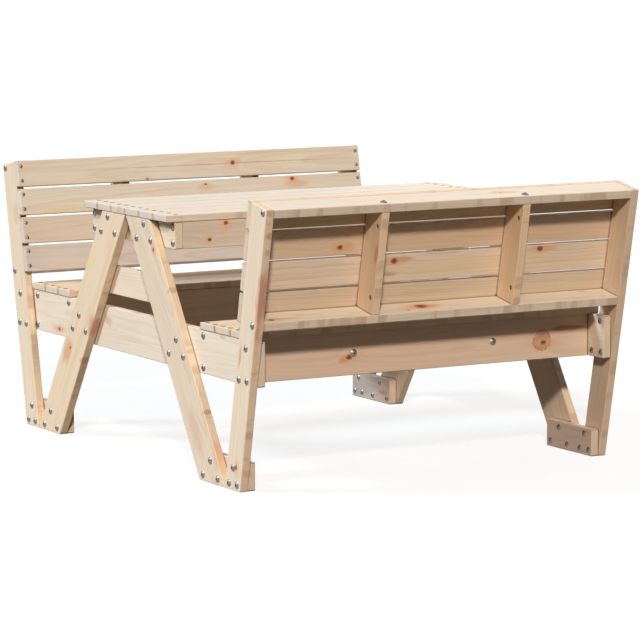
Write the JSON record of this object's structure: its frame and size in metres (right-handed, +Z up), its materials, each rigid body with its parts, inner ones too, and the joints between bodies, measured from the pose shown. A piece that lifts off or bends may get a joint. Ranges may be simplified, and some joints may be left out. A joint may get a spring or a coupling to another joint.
{
  "type": "kids picnic table",
  "caption": "Child-size wooden picnic table with attached facing benches, sloped slatted backs and end frames of boards bolted face to face.",
  "frame": {"origin": "on the floor under the middle of the table, the bottom centre of the bounding box", "axes": "+X along the benches from the left to the right end frame, +Y across from the front bench to the rear bench, +Z up"},
  "size_m": [0.8968, 1.2286, 0.5925],
  "materials": {
    "table_board": "planed pale pine, unpainted, with knots",
    "apron": "planed pale pine, unpainted, with knots",
    "leg": "planed pale pine, unpainted, with knots",
    "post": "planed pale pine, unpainted, with knots",
    "beam": "planed pale pine, unpainted, with knots",
    "tie": "planed pale pine, unpainted, with knots",
    "foot_plate": "planed pale pine, unpainted, with knots",
    "seat_board": "planed pale pine, unpainted, with knots",
    "seat_rail": "planed pale pine, unpainted, with knots",
    "seat_support": "planed pale pine, unpainted, with knots",
    "slat": "planed pale pine, unpainted, with knots",
    "back_rail": "planed pale pine, unpainted, with knots",
    "stile": "planed pale pine, unpainted, with knots",
    "bolt": "bright zinc plated",
    "cap_nut": "bright zinc plated",
    "barrel_nut": "bright zinc plated",
    "screw": "bright zinc plated"
  },
  "bodies": {
    "root": {"table_board_1": "table_board", "table_board_2": "table_board", "table_board_3": "table_board", "table_board_4": "table_board", "table_board_5": "table_board", "table_board_6": "table_board", "end_apron_left": "apron", "end_apron_right": "apron", "side_apron_front": "apron", "side_apron_rear": "apron", "leg_left_front": "leg", "leg_left_rear": "leg", "leg_right_front": "leg", "leg_right_rear": "leg", "post_left_front": "post", "post_left_rear": "post", "post_right_front": "post", "post_right_rear": "post", "cross_beam_left": "beam", "cross_beam_right": "beam", "leg_tie_left": "tie", "leg_tie_right": "tie", "foot_plate_left_front": "foot_plate", "foot_plate_left_rear": "foot_plate", "foot_plate_right_front": "foot_plate", "foot_plate_right_rear": "foot_plate", "seat_board_front_1": "seat_board", "seat_board_front_2": "seat_board", "seat_board_front_3": "seat_board", "seat_board_rear_1": "seat_board", "seat_board_rear_2": "seat_board", "seat_board_rear_3": "seat_board", "seat_rail_front_inner": "seat_rail", "seat_rail_front_outer": "seat_rail", "seat_rail_rear_inner": "seat_rail", "seat_rail_rear_outer": "seat_rail", "seat_support_front_left": "seat_support", "seat_support_front_right": "seat_support", "seat_support_rear_left": "seat_support", "seat_support_rear_right": "seat_support", "back_slat_front_1": "slat", "back_slat_front_2": "slat", "back_slat_front_3": "slat", "back_slat_front_4": "slat", "back_slat_rear_1": "slat", "back_slat_rear_2": "slat", "back_slat_rear_3": "slat", "back_slat_rear_4": "slat", "back_top_rail_front": "back_rail", "back_top_rail_rear": "back_rail", "back_bottom_rail_front": "back_rail", "back_bottom_rail_rear": "back_rail", "back_stile_front_left": "stile", "back_stile_front_right": "stile", "back_stile_rear_left": "stile", "back_stile_rear_right": "stile", "bolts": "bolt", "cap_nuts": "cap_nut", "barrel_nuts": "barrel_nut", "wood_screws": "screw"}
  },
  "joints": []
}
